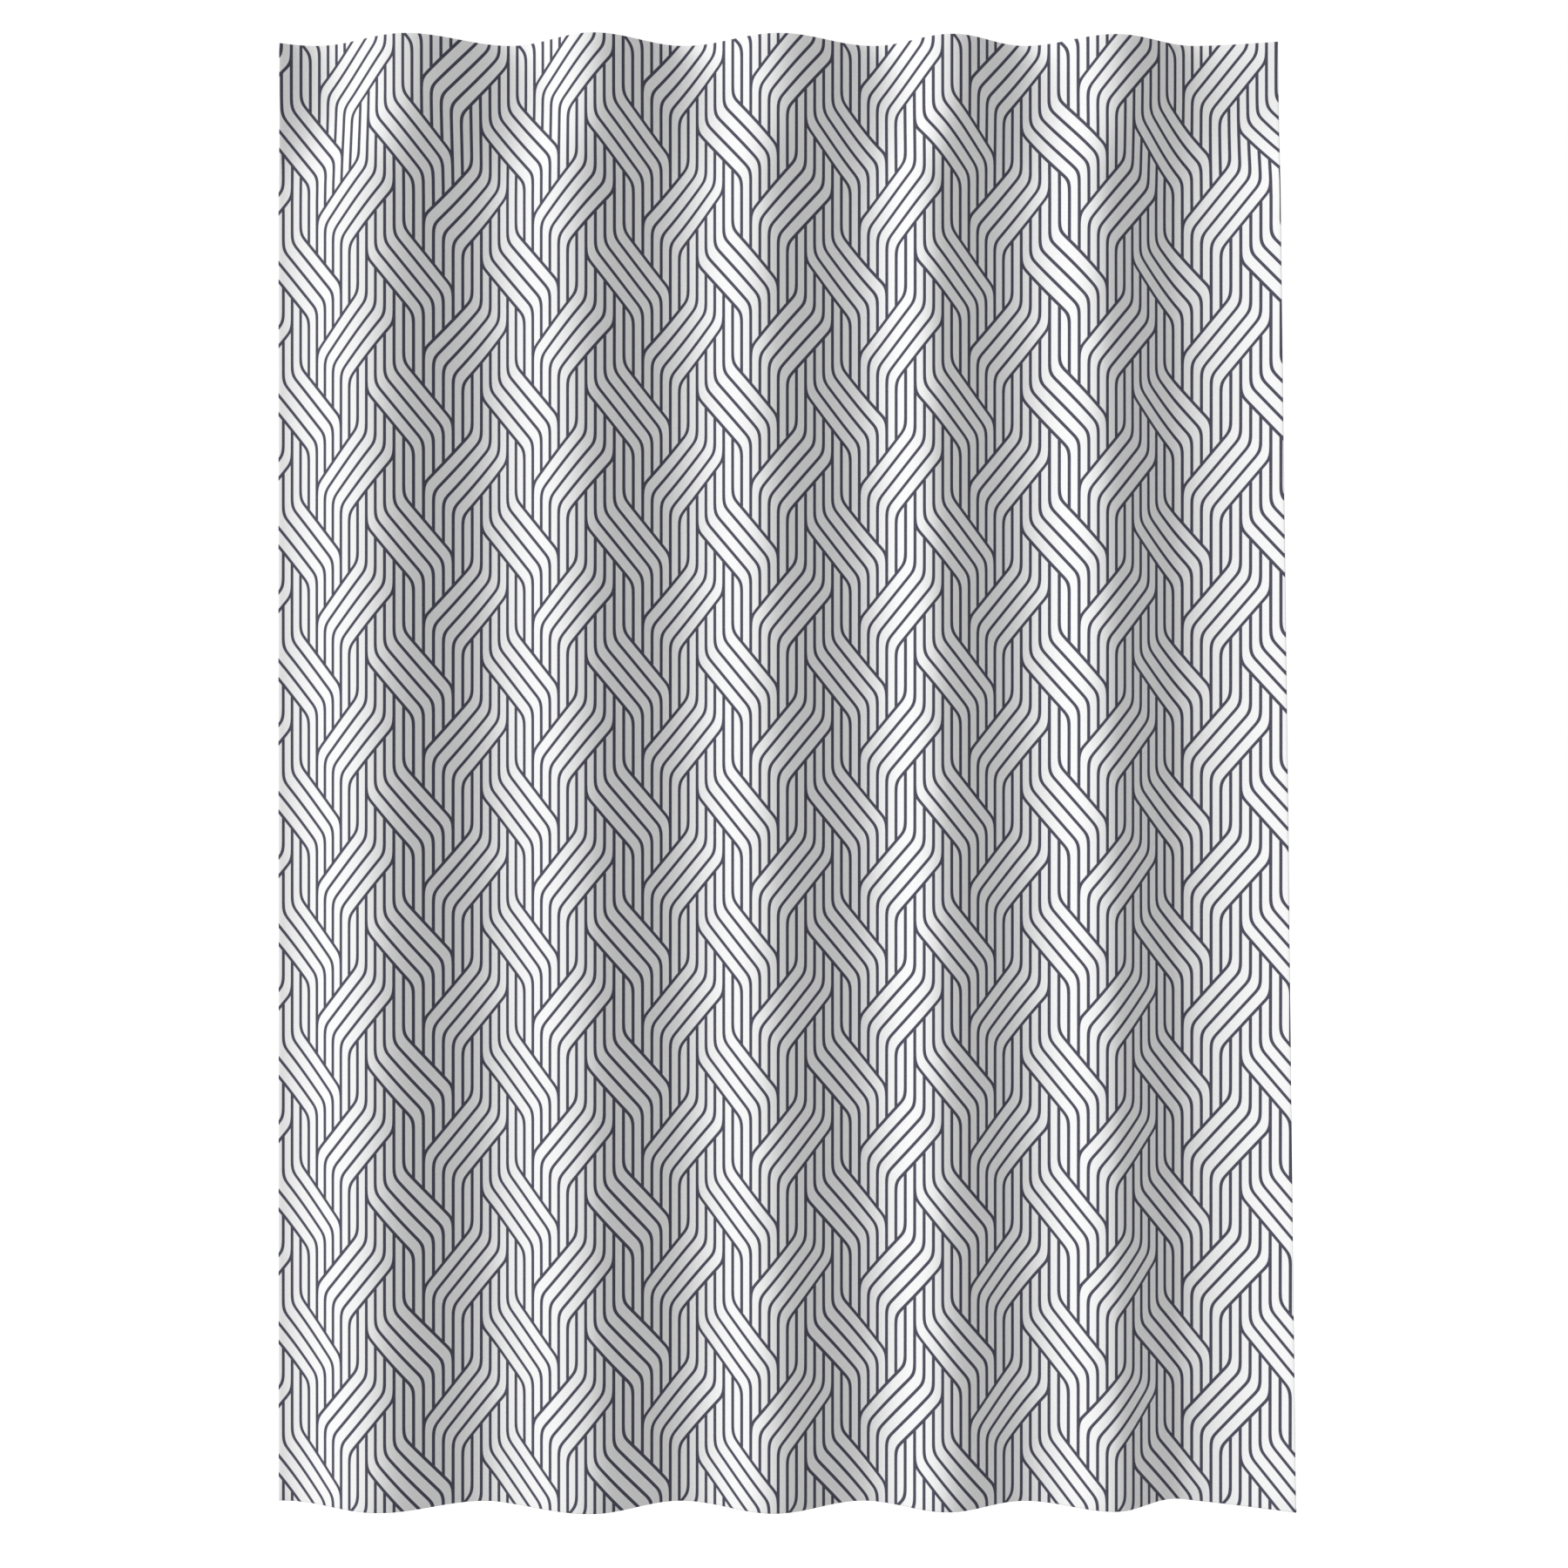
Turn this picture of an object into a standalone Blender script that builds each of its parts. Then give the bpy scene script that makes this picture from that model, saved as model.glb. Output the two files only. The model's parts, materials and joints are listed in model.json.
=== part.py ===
"""Shower curtain on a concealed heading tape, drawn along a rail.

The cloth hangs in soft folds.  Each fold is two flanks that meet at a ridge (towards the viewer);
folds meet at valleys, where a plastic hook in a sewn pocket carries the curtain.  Drawing the curtain
swings the flanks about upright fold lines, so that the hooks run along one straight line.

Frame: origin at the middle of the line on which the hooks hang, +X along the rail, +Y to the wall,
+Z up.  Metres.
"""
import math

import bmesh
import bpy

# Cloth
CLOTH_DROP = 2.000            # finished height of the cloth
CLOTH_ABOVE_RAIL_LINE = 0.015  # the heading stands above the hooks and hides them
CLOTH_THICKNESS = 0.0005
FOLD_WIDTHS = (0.267, 0.239, 0.261, 0.208, 0.234)   # valley to valley, left to right
FOLD_DEPTHS = (0.049, 0.051, 0.049, 0.046, 0.045)   # valley to ridge, front surface
LEFT_FLAP_WIDTH = 0.047       # from the first valley to the left edge
LEFT_FLAP_RISE = 0.022        # how far that edge comes forward
RIGHT_FLAP_WIDTH = 0.120
RIGHT_FLAP_RISE = 0.017
RIGHT_EDGE_FLARE = 0.024      # the right edge leans out by this much from top to bottom
STEPS_PER_FLANK = 10

# Motion
FLANK_SWING = math.radians(52)  # each flank, from hanging to fully drawn
PIECE_GAP = 0.0003            # between cloth and what is sewn on it
SEAM_GAP = 0.0004             # between the two flanks at a fold line
SETBACK_ROUNDS = 12           # enough for a setback to settle

# Heading tape, behind the cloth
TAPE_HEIGHT = 0.050
TAPE_THICKNESS = 0.0008
TAPE_BELOW_TOP = 0.012

# Bottom hem with its weight cord
HEM_HEIGHT = 0.035
HEM_THICKNESS = 0.0005
WEIGHT_RADIUS = 0.0016
WEIGHT_END_SPACE = 0.004      # past the end of the hem that covers it
WEIGHT_SIDES = 6

# Side hems
SIDE_HEM_WIDTH = 0.020
SIDE_HEM_INSET = 0.0005

# Hook: a flat strip bent into a leg, a bend under the pocket, a shank and a crook
HOOK_WIDTH = 0.0030
HOOK_STRIP = 0.0022
CROOK_INNER_RADIUS = 0.0040
CROOK_TIP_LENGTH = 0.0030
LEG_TO_SHANK = 0.0050
BEND_BELOW_RAIL_LINE = 0.042
LEG_LENGTH = 0.028
CROOK_STEPS = 8
BEND_STEPS = 5

# Pocket that the hook's leg stands in
POCKET_WALL = 0.0006
POCKET_HEIGHT = 0.024
POCKET_SEAT_DROP = 0.0005     # its lower rim reaches this far into the hook's bend

# Places worked out from the sizes above
CROOK_RADIUS = CROOK_INNER_RADIUS + HOOK_STRIP / 2
SHANK_Y = -CROOK_RADIUS
LEG_Y = SHANK_Y - LEG_TO_SHANK
POCKET_HALF_X = HOOK_WIDTH / 2 + PIECE_GAP + POCKET_WALL
POCKET_HALF_Y = HOOK_STRIP / 2 + PIECE_GAP + POCKET_WALL
VALLEY_Y = LEG_Y - POCKET_HALF_Y - PIECE_GAP - CLOTH_THICKNESS
CLOTH_TOP = CLOTH_ABOVE_RAIL_LINE
CLOTH_BOTTOM = CLOTH_TOP - CLOTH_DROP
CLOTH_MIDDLE = (CLOTH_TOP + CLOTH_BOTTOM) / 2
SEWN_ON = CLOTH_THICKNESS + PIECE_GAP       # distance behind the cloth's front surface
TAPE_TOP = CLOTH_TOP - TAPE_BELOW_TOP
TAPE_BOTTOM = TAPE_TOP - TAPE_HEIGHT
WEIGHT_BACK = SEWN_ON + WEIGHT_RADIUS
HEM_BULGE_TURN = math.radians(45)           # between the corners of the hem's bulge
HEM_BULGE_RADIUS = (WEIGHT_RADIUS + PIECE_GAP + HEM_THICKNESS / 2) / math.cos(HEM_BULGE_TURN / 2)
WEIGHT_Z = CLOTH_BOTTOM + HEM_BULGE_RADIUS + HEM_THICKNESS / 2
FIRST_VALLEY_X = -sum(FOLD_WIDTHS) / 2
VALLEYS = [FIRST_VALLEY_X + sum(FOLD_WIDTHS[:count]) for count in range(len(FOLD_WIDTHS) + 1)]
RIDGES = [(VALLEYS[i] + VALLEYS[i + 1]) / 2 for i in range(len(FOLD_WIDTHS))]
LEFT_EDGE = VALLEYS[0] - LEFT_FLAP_WIDTH
RIGHT_EDGE = VALLEYS[-1] + RIGHT_FLAP_WIDTH


def front_surface(x):
    """Y and slope dY/dX of the cloth's front surface at x."""
    if x < VALLEYS[0]:
        turn = math.pi / 2 / LEFT_FLAP_WIDTH
        angle = turn * (VALLEYS[0] - x)
        return (VALLEY_Y - LEFT_FLAP_RISE * (1 - math.cos(angle)), LEFT_FLAP_RISE * turn * math.sin(angle))
    if x > VALLEYS[-1]:
        turn = math.pi / 2 / RIGHT_FLAP_WIDTH
        angle = turn * (x - VALLEYS[-1])
        return (VALLEY_Y - RIGHT_FLAP_RISE * (1 - math.cos(angle)), -RIGHT_FLAP_RISE * turn * math.sin(angle))
    fold = max(i for i in range(len(FOLD_WIDTHS)) if VALLEYS[i] <= x)
    turn = 2 * math.pi / FOLD_WIDTHS[fold]
    angle = turn * (x - VALLEYS[fold])
    depth = FOLD_DEPTHS[fold]
    return (VALLEY_Y - depth / 2 * (1 - math.cos(angle)), -depth / 2 * turn * math.sin(angle))


def cloth_point(x, back, z):
    """World position of a point `back` metres behind the front surface, at x along the rail."""
    y, slope = front_surface(x)
    length = math.hypot(1, slope)
    past_last_valley = max(0.0, x - VALLEYS[-1]) / RIGHT_FLAP_WIDTH
    flare = RIGHT_EDGE_FLARE * past_last_valley * (CLOTH_MIDDLE - z) / CLOTH_DROP
    return (x - back * slope / length + flare, y + back / length, z)


def ridge_setback(back, ridge):
    """How far a piece that reaches `back` behind the cloth's front stops short of a ridge line.

    Fully drawn, its end then stays PIECE_GAP on its own side of the fold's middle plane.
    """
    reach = back - CLOTH_THICKNESS
    setback = reach * math.tan(FLANK_SWING) + PIECE_GAP
    for _ in range(SETBACK_ROUNDS):
        y, slope = front_surface(ridge + setback)
        sideways = reach * math.sin(math.atan(slope) + FLANK_SWING)
        sideways += (y - front_surface(ridge)[0]) * math.sin(FLANK_SWING)
        setback = (sideways + PIECE_GAP) / math.cos(FLANK_SWING)
    return setback


def stations_between(start, end):
    """Places along X: both ends, and the shared grid of the flank that they lie in."""
    lines = sorted([LEFT_EDGE, *VALLEYS, *RIDGES, RIGHT_EDGE])
    grid = []
    for left, right in zip(lines, lines[1:]):
        grid += [left + (right - left) * step / STEPS_PER_FLANK for step in range(STEPS_PER_FLANK)]
    shortest = (end - start) / STEPS_PER_FLANK / 3
    inner = [x for x in grid if start + shortest < x < end - shortest]
    return [start, *inner, end]


def make_material(name, colour, roughness):
    material = bpy.data.materials.new(name)
    material.use_nodes = True
    shader = material.node_tree.nodes["Principled BSDF"]
    shader.inputs["Base Color"].default_value = (*colour, 1.0)
    shader.inputs["Roughness"].default_value = roughness
    shader.inputs["Metallic"].default_value = 0.0
    return material


def make_solid(name, rings, colour, roughness, origin):
    """A closed solid through rings of points, capped at both ends, with its origin on its fold line."""
    mesh = bpy.data.meshes.new(name)
    shape = bmesh.new()
    verts = [[shape.verts.new([p - o for p, o in zip(point, origin)]) for point in ring] for ring in rings]
    count = len(rings[0])
    for ring, following in zip(verts, verts[1:]):
        for i in range(count):
            j = (i + 1) % count
            shape.faces.new((ring[i], ring[j], following[j], following[i]))
    shape.faces.new(verts[0])
    shape.faces.new(verts[-1])
    bmesh.ops.recalc_face_normals(shape, faces=shape.faces)
    bmesh.ops.triangulate(shape, faces=[face for face in shape.faces if len(face.verts) > 4])
    shape.to_mesh(mesh)
    shape.free()
    solid = bpy.data.objects.new(name, mesh)
    solid.location = origin
    bpy.context.scene.collection.objects.link(solid)
    solid.data.materials.append(make_material(name, colour, roughness))
    return solid


def sweep_along_cloth(name, start, end, section, colour, roughness, origin_x):
    """Sweep a closed section of (back, z) points along the cloth from start to end."""
    rings = [[cloth_point(x, back, z) for back, z in section] for x in stations_between(start, end)]
    return make_solid(name, rings, colour, roughness, (origin_x, VALLEY_Y, 0.0))


def rectangle(back, thickness, low, high):
    return [(back, low), (back + thickness, low), (back + thickness, high), (back, high)]


def hem_section():
    """The turned-up hem: flat against the cloth at its stitching, round the weight cord below."""
    flat = SEWN_ON + HEM_THICKNESS / 2
    middle = [(flat, CLOTH_BOTTOM + HEM_HEIGHT), (flat, WEIGHT_Z + 2.6 * HEM_BULGE_RADIUS)]
    for corner in range(3):
        angle = math.radians(30) - corner * HEM_BULGE_TURN
        middle.append((WEIGHT_BACK + HEM_BULGE_RADIUS * math.cos(angle),
                       WEIGHT_Z + HEM_BULGE_RADIUS * math.sin(angle)))
    middle.append((flat, WEIGHT_Z - HEM_BULGE_RADIUS))
    inner, outer = [], []
    for i, (back, z) in enumerate(middle):
        before = middle[max(i - 1, 0)]
        after = middle[min(i + 1, len(middle) - 1)]
        along = (after[0] - before[0], after[1] - before[1])
        length = math.hypot(*along)
        side = (-along[1] / length * HEM_THICKNESS / 2, along[0] / length * HEM_THICKNESS / 2)
        outer.append((back + side[0], z + side[1]))
        inner.append((back - side[0], z - side[1]))
    return outer + inner[::-1]


def weight_section():
    turns = [2 * math.pi * side / WEIGHT_SIDES for side in range(WEIGHT_SIDES)]
    return [(WEIGHT_BACK + WEIGHT_RADIUS * math.cos(a), WEIGHT_Z + WEIGHT_RADIUS * math.sin(a)) for a in turns]


def inset(start, end, at_valley, back):
    """Shorten a stretch by at_valley at a valley, and by its setback for `back` at a ridge."""
    amount = {x: at_valley for x in VALLEYS}
    amount.update({x: ridge_setback(back, x) for x in RIDGES})
    return start + amount.get(start, 0.0), end - amount.get(end, 0.0)


def make_stretch(name, start, end, origin_x, has_weight):
    """Cloth, heading tape and bottom hem of one stretch between two fold lines."""
    white = (0.86, 0.86, 0.87)
    seam = SEAM_GAP / 2
    a = start if start == LEFT_EDGE else start + seam
    b = end if end == RIGHT_EDGE else end - seam
    cloth = rectangle(0.0, CLOTH_THICKNESS, CLOTH_BOTTOM, CLOTH_TOP)
    sweep_along_cloth("cloth_" + name, a, b, cloth, white, 0.8, origin_x)

    a, b = inset(start, end, POCKET_HALF_X + PIECE_GAP, SEWN_ON + TAPE_THICKNESS)
    tape = rectangle(SEWN_ON, TAPE_THICKNESS, TAPE_BOTTOM, TAPE_TOP)
    sweep_along_cloth("heading_tape_" + name, a, b, tape, (0.9, 0.9, 0.9), 0.9, origin_x)

    hem_back = WEIGHT_BACK + HEM_BULGE_RADIUS + HEM_THICKNESS / 2
    a, b = inset(start, end, seam, hem_back)
    sweep_along_cloth("bottom_hem_" + name, a, b, hem_section(), white, 0.8, origin_x)
    if has_weight:
        a, b = a + WEIGHT_END_SPACE, b - WEIGHT_END_SPACE
        grey = (0.45, 0.46, 0.48)
        sweep_along_cloth("hem_weight_" + name, a, b, weight_section(), grey, 0.6, origin_x)


def make_side_hem(name, start, end, origin_x):
    section = rectangle(SEWN_ON, HEM_THICKNESS, CLOTH_BOTTOM + HEM_HEIGHT + PIECE_GAP, TAPE_BOTTOM - PIECE_GAP)
    sweep_along_cloth(name, start, end, section, (0.86, 0.86, 0.87), 0.8, origin_x)


def hook_route():
    """Middle line of the hook's strip as (y, z, direction angle), from the leg's top to the crook's tip."""
    bend_y = LEG_Y + LEG_TO_SHANK / 2
    bend_z = -BEND_BELOW_RAIL_LINE
    route = [(LEG_Y, bend_z + LEG_LENGTH, -math.pi / 2)]
    for step in range(BEND_STEPS + 1):
        angle = math.pi + math.pi * step / BEND_STEPS
        radius = LEG_TO_SHANK / 2
        route.append((bend_y + radius * math.cos(angle), bend_z + radius * math.sin(angle), angle + math.pi / 2))
    for step in range(CROOK_STEPS + 1):
        angle = math.pi - math.pi * step / CROOK_STEPS
        y = CROOK_RADIUS * math.cos(angle)
        z = CROOK_RADIUS * math.sin(angle) - CROOK_INNER_RADIUS
        route.append((y, z, angle - math.pi / 2))
    route.append((CROOK_RADIUS, -CROOK_INNER_RADIUS - CROOK_TIP_LENGTH, -math.pi / 2))
    return route


def make_hook(name, x):
    rings = []
    for y, z, direction in hook_route():
        across = (-math.sin(direction) * HOOK_STRIP / 2, math.cos(direction) * HOOK_STRIP / 2)
        rings.append([(x + side * HOOK_WIDTH / 2, y + face * across[0], z + face * across[1])
                      for side, face in ((-1, -1), (1, -1), (1, 1), (-1, 1))])
    make_solid(name, rings, (0.92, 0.92, 0.92), 0.35, (x, VALLEY_Y, 0.0))


def make_pocket(name, x):
    """A tube of tape, open at both ends, whose lower rim hangs on the hook's bend."""
    bottom = -BEND_BELOW_RAIL_LINE - POCKET_SEAT_DROP
    shape = bmesh.new()

    def loop(half_x, half_y, z):
        corners = ((-1, -1), (1, -1), (1, 1), (-1, 1))
        return [shape.verts.new((i * half_x, LEG_Y - VALLEY_Y + j * half_y, z)) for i, j in corners]

    outer = [loop(POCKET_HALF_X, POCKET_HALF_Y, z) for z in (bottom, bottom + POCKET_HEIGHT)]
    inner_x = POCKET_HALF_X - POCKET_WALL
    inner_y = POCKET_HALF_Y - POCKET_WALL
    inner = [loop(inner_x, inner_y, z) for z in (bottom, bottom + POCKET_HEIGHT)]
    for i in range(4):
        j = (i + 1) % 4
        shape.faces.new((outer[0][i], outer[0][j], outer[1][j], outer[1][i]))
        shape.faces.new((inner[0][j], inner[0][i], inner[1][i], inner[1][j]))
        shape.faces.new((outer[1][i], outer[1][j], inner[1][j], inner[1][i]))
        shape.faces.new((inner[0][i], inner[0][j], outer[0][j], outer[0][i]))
    mesh = bpy.data.meshes.new(name)
    shape.to_mesh(mesh)
    shape.free()
    pocket = bpy.data.objects.new(name, mesh)
    pocket.location = (x, VALLEY_Y, 0.0)
    bpy.context.scene.collection.objects.link(pocket)
    pocket.data.materials.append(make_material(name, (0.9, 0.9, 0.9), 0.9))


def main():
    for old in list(bpy.data.objects):
        bpy.data.objects.remove(old)

    make_stretch("left_end", LEFT_EDGE, VALLEYS[0], VALLEYS[0], has_weight=False)
    for i, ridge in enumerate(RIDGES):
        make_stretch(f"fold_{i + 1}a", VALLEYS[i], ridge, VALLEYS[i], has_weight=True)
        make_stretch(f"fold_{i + 1}b", ridge, VALLEYS[i + 1], ridge, has_weight=True)
    make_stretch("right_end", VALLEYS[-1], RIGHT_EDGE, VALLEYS[-1], has_weight=False)

    left = LEFT_EDGE + SIDE_HEM_INSET
    make_side_hem("side_hem_left", left, left + SIDE_HEM_WIDTH, VALLEYS[0])
    right = RIGHT_EDGE - SIDE_HEM_INSET
    make_side_hem("side_hem_right", right - SIDE_HEM_WIDTH, right, VALLEYS[-1])

    for i, valley in enumerate(VALLEYS):
        make_hook(f"hook_{i + 1}", valley)
        make_pocket(f"hook_pocket_{i + 1}", valley)


main()
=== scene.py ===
"""Looks of the shower curtain: printed cloth in soft folds, turned hems, heading tape, hooks and stitching.

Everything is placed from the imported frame.  Metres, +X along the rail, -Y towards the viewer, +Z up.
"""
import json
import math

import bmesh
import bpy
import numpy as np
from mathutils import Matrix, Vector


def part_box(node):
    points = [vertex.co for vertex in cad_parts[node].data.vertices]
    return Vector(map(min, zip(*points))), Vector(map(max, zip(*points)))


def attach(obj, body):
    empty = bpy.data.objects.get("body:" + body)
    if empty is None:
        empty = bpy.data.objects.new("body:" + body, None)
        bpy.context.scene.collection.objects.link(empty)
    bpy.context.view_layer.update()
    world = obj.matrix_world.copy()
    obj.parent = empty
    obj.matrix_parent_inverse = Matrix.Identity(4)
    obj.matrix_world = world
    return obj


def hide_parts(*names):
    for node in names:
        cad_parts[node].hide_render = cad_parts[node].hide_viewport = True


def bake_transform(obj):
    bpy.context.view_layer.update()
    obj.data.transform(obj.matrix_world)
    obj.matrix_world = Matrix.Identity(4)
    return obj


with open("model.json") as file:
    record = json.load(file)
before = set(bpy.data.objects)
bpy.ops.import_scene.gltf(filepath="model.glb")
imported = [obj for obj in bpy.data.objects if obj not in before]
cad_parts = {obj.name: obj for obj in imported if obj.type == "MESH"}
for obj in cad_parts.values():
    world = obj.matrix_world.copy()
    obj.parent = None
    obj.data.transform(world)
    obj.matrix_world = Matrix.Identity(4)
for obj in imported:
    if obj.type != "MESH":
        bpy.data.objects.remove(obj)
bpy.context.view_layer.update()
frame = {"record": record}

bl_info = {
    "name": "Shower Curtain",
    "version": (1, 0, 0),
    "blender": (4, 5, 0),
    "location": "View3D > Sidebar > Curtain",
    "description": "Builds a printed shower curtain in soft folds around its packed frame",
    "category": "Add Mesh",
}

# ---------------------------------------------------------------- the frame

JOINTS = {joint["name"]: joint for joint in frame["record"]["behaviour"]["joints"]}
VALLEY_JOINTS = ["draw", "valley_2", "valley_3", "valley_4", "valley_5", "right_end_turn"]
RIDGE_JOINTS = [f"ridge_{i}" for i in range(1, 6)]
CAD_CLOTH = 0.0005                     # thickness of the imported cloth, whose back carries the ridge axes
VALLEY_X = [JOINTS[name]["pos_m"][0] for name in VALLEY_JOINTS]
RIDGE_X = [JOINTS[name]["pos_m"][0] for name in RIDGE_JOINTS]
VALLEY_Y = JOINTS["draw"]["pos_m"][1]
RIDGE_Y = [JOINTS[name]["pos_m"][1] - CAD_CLOTH for name in RIDGE_JOINTS]
LOW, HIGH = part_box("cloth_left_end")
LEFT_EDGE, CLOTH_BOTTOM, CLOTH_TOP = LOW[0], LOW[2], HIGH[2]
LEFT_RISE = VALLEY_Y - LOW[1]
LOW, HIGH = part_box("cloth_right_end")
RIGHT_RISE = VALLEY_Y - LOW[1]
RIGHT_EDGE_BOTTOM = HIGH[0]
RIGHT_EDGE_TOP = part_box("heading_tape_right_end")[1][0]
RIGHT_EDGE = (RIGHT_EDGE_BOTTOM + RIGHT_EDGE_TOP) / 2
RIGHT_FLARE = RIGHT_EDGE_BOTTOM - RIGHT_EDGE_TOP
DROP = CLOTH_TOP - CLOTH_BOTTOM
TAPE_BOTTOM, TAPE_TOP = (corner[2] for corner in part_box("heading_tape_fold_1a"))
HEM_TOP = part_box("bottom_hem_fold_1a")[1][2]
SIDE_HEM_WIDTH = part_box("side_hem_left")[1][0] - LEFT_EDGE

FOLD_LINES = sorted([LEFT_EDGE, RIGHT_EDGE, *VALLEY_X, *RIDGE_X])
BODIES = ["left_end"] + [f"fold_{i}{side}" for i in range(1, 6) for side in "ab"] + ["right_end"]


# ---------------------------------------------------------------- settings

def metres(name, description, value):
    """A length that the user can set."""
    return bpy.props.FloatProperty(
        name=name, description=description, default=value, unit="LENGTH", precision=5)


def degrees(name, description, value):
    """An angle that the user can set."""
    return bpy.props.FloatProperty(
        name=name, description=description, default=math.radians(value), subtype="ANGLE")


class CurtainCloth(bpy.types.PropertyGroup):
    """Sizes of the cloth and its sewing"""
    thickness: metres("Cloth thickness", "Woven polyester", 0.00030)
    column: metres("Column width", "Width of one column of faces", 0.0045)
    row: metres("Row height", "Height of one row of faces", 0.024)
    layer: metres("Layer step", "From one sewn layer to the next", 0.00065)
    bend: metres("Bend reach", "Cloth that turns on each side of a fold line", 0.042)
    weight_bulge: metres("Weight bulge", "Radius of the hem round its weight cord", 0.0023)
    stitch_pitch: metres("Stitch pitch", "From one stitch to the next", 0.0042)
    stitch_length: metres("Stitch length", "Length that shows of each stitch", 0.0031)
    thread_radius: metres("Thread radius", "Sewing thread", 0.00022)


class CurtainPrint(bpy.types.PropertyGroup):
    """The printed cable pattern"""
    ground: bpy.props.StringProperty(name="Ground", description="Cloth colour, sRGB hex", default="FBFBFC")
    ink: bpy.props.StringProperty(name="Ink", description="Line colour, sRGB hex", default="282844")
    spacing: metres("Line spacing", "Between two upright lines as hung", 0.012365)
    line_width: metres("Line width", "Width of a printed line", 0.0040)
    repeat_down: bpy.props.FloatProperty(
        name="Repeat", description="Height of one repeat, in line spacings", default=14.727)
    slope: bpy.props.FloatProperty(
        name="Strand slope", description="Fall of a slanting line per spacing across", default=1.2263)
    step: bpy.props.FloatProperty(
        name="Strand step", description="Fall from one line's corner to the next, in spacings", default=0.829)
    rounding: bpy.props.FloatProperty(
        name="Corner rounding", description="How softly a line turns, in spacings", default=0.69)
    start_across: bpy.props.FloatProperty(
        name="Start across", description="Pattern shift at the first valley, in spacings", default=0.603)
    start_down: bpy.props.FloatProperty(
        name="Start down", description="Pattern shift at the top edge, in spacings", default=-5.712)


class CurtainStage(bpy.types.PropertyGroup):
    """Camera and light"""
    distance: metres("Camera distance", "From the cloth", 2.79)
    view_width: metres("Width in view", "At the cloth's distance", 2.1366)
    centre_x: metres("Aim across", "Camera X", 0.0389)
    centre_z: metres("Aim height", "Camera Z", -0.9993)
    key_azimuth: degrees("Key azimuth", "Key light, to the left of the camera", 70)
    key_height: degrees("Key height", "Key light above the horizon", 20)
    key_softness: degrees("Key softness", "Angle that the key light fills", 35)
    key_strength: bpy.props.FloatProperty(name="Key strength", description="Sun strength", default=2.4)
    back_azimuth: degrees("Back azimuth", "Back light, to the right of the camera", 160)
    back_height: degrees("Back height", "Back light above the horizon", 25)
    back_strength: bpy.props.FloatProperty(name="Back strength", description="Sun strength", default=1.1)
    fill_strength: bpy.props.FloatProperty(
        name="Fill strength", description="Light from all round", default=0.475)


# ---------------------------------------------------------------- shape of the hung cloth

# How far each fold line lies sideways of its place on the heading, (under the tape, at the bottom), in metres
FOLD_DRIFT = {
    "valley": ((-0.044, -0.044), (-0.034, -0.034), (-0.014, -0.004), (-0.026, -0.014), (-0.014, 0.000),
               (-0.028, -0.028)),
    "ridge": ((-0.034, -0.038), (-0.026, -0.004), (-0.024, -0.006), (-0.034, -0.006), (-0.026, 0.000)),
}
DRIFT_AT = sorted([*zip(VALLEY_X, FOLD_DRIFT["valley"]), *zip(RIDGE_X, FOLD_DRIFT["ridge"])])
DRIFT_REACH = 0.16                     # height under the tape in which the cloth comes free of its line
FREE_FLAP = 1.5                        # how much further the right flap comes forward, as a share of its rise
FLAP_CURL = 1.5                        # 1 is a straight right flap, more bends its edge forward
FREE_CURL = 0.3                        # how much straighter it is under the tape
LAST_VALLEY = 0.008                    # how much deeper the last valley is, under the tape
FREE_EDGE = 0.004                      # how far the left edge hangs out, under the tape
DRAWN_IN = 0.006                       # how far the right edge moves in as its flap comes forward
LEFT_FLAP = 0.55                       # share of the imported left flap's rise
BREATHING = 0.03                       # how much the folds' depth wanders along the curtain
RIPPLE = 0.0008                        # height of the faint slack waves in the cloth
SIDE_HEM_LAYERS = 2.3                  # how far back the side hem lies, in layer steps
HEM_RAMP = 0.005                       # width over which what lies on a side hem comes down beside it
HEM_CLEAR = 0.006                      # from the side hem's inner edge to the foot of that ramp


def ease(share):
    """A smooth step from 0 to 1."""
    return share * share * (3 - 2 * share)


def on_side_hem(x):
    """1 over a side hem and 0 away from it."""
    near_edge = np.minimum(x - LEFT_EDGE, RIGHT_EDGE - x)
    return np.clip((SIDE_HEM_WIDTH + HEM_CLEAR - near_edge) / HEM_RAMP, 0, 1)


def front_y(x, free=0.0):
    """Y of the hung cloth's front at x, for an array of x measured from the fold lines on the heading."""
    y = np.empty_like(x)
    left = x <= VALLEY_X[0]
    turn = math.pi / 2 / (VALLEY_X[0] - LEFT_EDGE)
    y[left] = VALLEY_Y - LEFT_FLAP * LEFT_RISE * (1 - np.cos(turn * (VALLEY_X[0] - x[left])))
    right = x > VALLEY_X[-1]
    share = np.maximum(x - VALLEY_X[-1], 0) / (RIGHT_EDGE - VALLEY_X[-1])
    curl = FLAP_CURL - FREE_CURL * free
    y[right] = (VALLEY_Y - RIGHT_RISE * (1 + FREE_FLAP * free) * share ** curl)[right]
    for start, end, ridge_y in zip(VALLEY_X, VALLEY_X[1:], RIDGE_Y):
        inside = (x > start) & (x <= end)
        turn = 2 * math.pi / (end - start)
        y[inside] = VALLEY_Y + (ridge_y - VALLEY_Y) / 2 * (1 - np.cos(turn * (x[inside] - start)))
    behind = np.clip((x - RIDGE_X[-1]) / (VALLEY_X[-1] - RIDGE_X[-1]), 0, 1)
    return y + LAST_VALLEY * free * ease(behind)


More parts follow.
